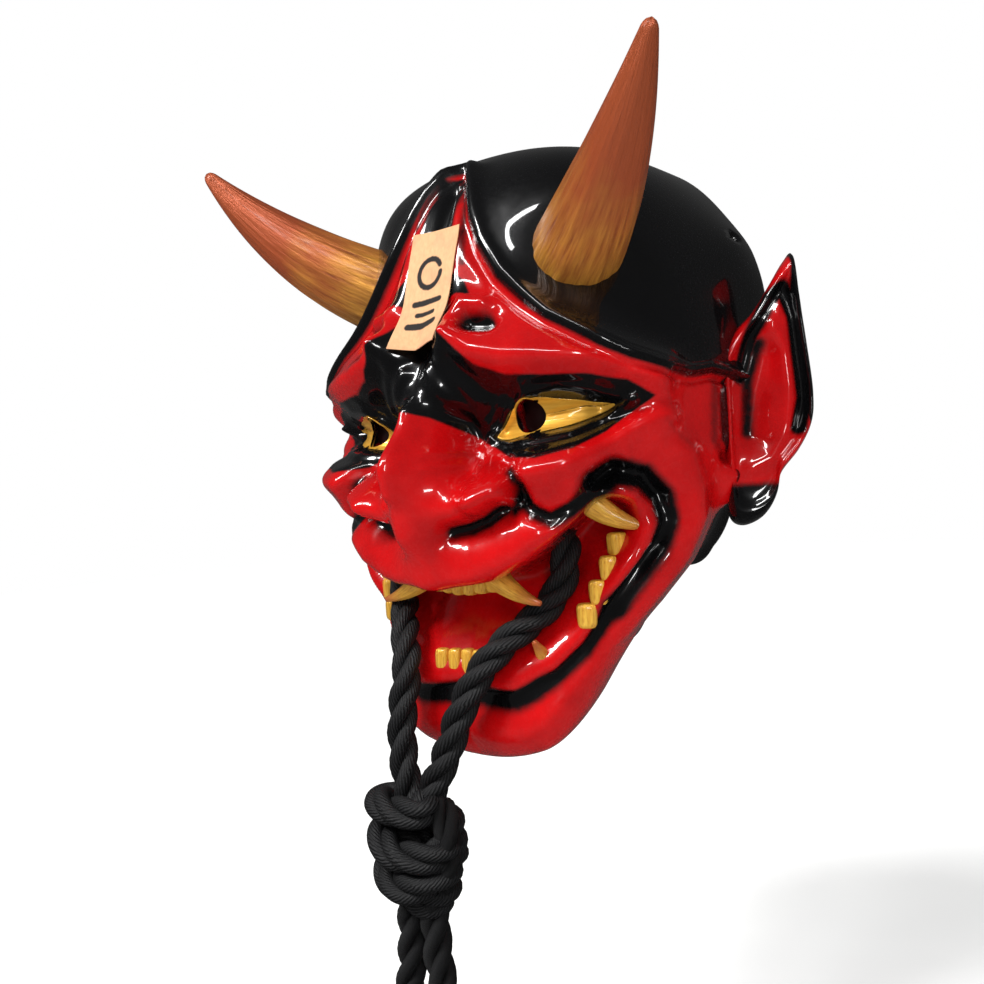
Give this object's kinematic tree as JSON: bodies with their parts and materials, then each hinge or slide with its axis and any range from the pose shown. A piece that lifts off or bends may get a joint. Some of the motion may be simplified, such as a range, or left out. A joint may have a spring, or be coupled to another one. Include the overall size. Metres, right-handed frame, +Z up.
{
  "type": "demon noh mask with rope",
  "caption": "Red and black lacquered horned demon mask with gilt eyes and fangs and a thick knotted black rope hanging from its mouth.",
  "frame": {"origin": "centre of the hanging hole, on the rear face of the hanger plate inside the crown", "axes": "+Z up, the face looks to -Y, +X to the right as seen by a viewer in front of the face"},
  "size_m": [0.2236, 0.1313, 0.3978],
  "materials": {
    "lacquered_resin": "glossy red and black lacquer over cast resin",
    "gold_paint": "metallic gold and copper paint over cast resin",
    "gilt_plate": "brushed gilt plate",
    "kraft_paper": "matte tan paper",
    "rope_fibre": "black twisted cord with a satin sheen",
    "screw_steel": "zinc-plated steel"
  },
  "bodies": {
    "mask": {"mask_shell": "lacquered_resin", "ear_left": "lacquered_resin", "ear_right": "lacquered_resin", "horn_left": "gold_paint", "horn_right": "gold_paint", "horn_screws": "screw_steel", "eye_left": "gilt_plate", "eye_right": "gilt_plate", "upper_teeth": "gold_paint", "lower_teeth_front": "gold_paint", "lower_teeth_left": "gold_paint", "lower_teeth_right": "gold_paint", "upper_fang_left": "gold_paint", "upper_fang_right": "gold_paint", "upper_tusk_left": "gold_paint", "upper_tusk_right": "gold_paint", "lower_fang_left": "gold_paint", "lower_fang_right": "gold_paint", "paper_slip": "kraft_paper", "rope_upper": "rope_fibre", "hanger_plate": "screw_steel", "hanger_screws": "screw_steel"},
    "rope": {"rope_leg_left": "rope_fibre", "rope_leg_right": "rope_fibre", "rope_knot": "rope_fibre", "rope_tail_left": "rope_fibre", "rope_tail_right": "rope_fibre", "rope_end_knot_left": "rope_fibre", "rope_end_knot_right": "rope_fibre"}
  },
  "joints": [
    {"name": "rope_swing", "type": "hinge", "parent": "mask", "child": "rope", "pos_m": [0, -0.102, -0.181], "axis": [-1, 0, 0], "range_deg": [0, 60]}
  ]
}
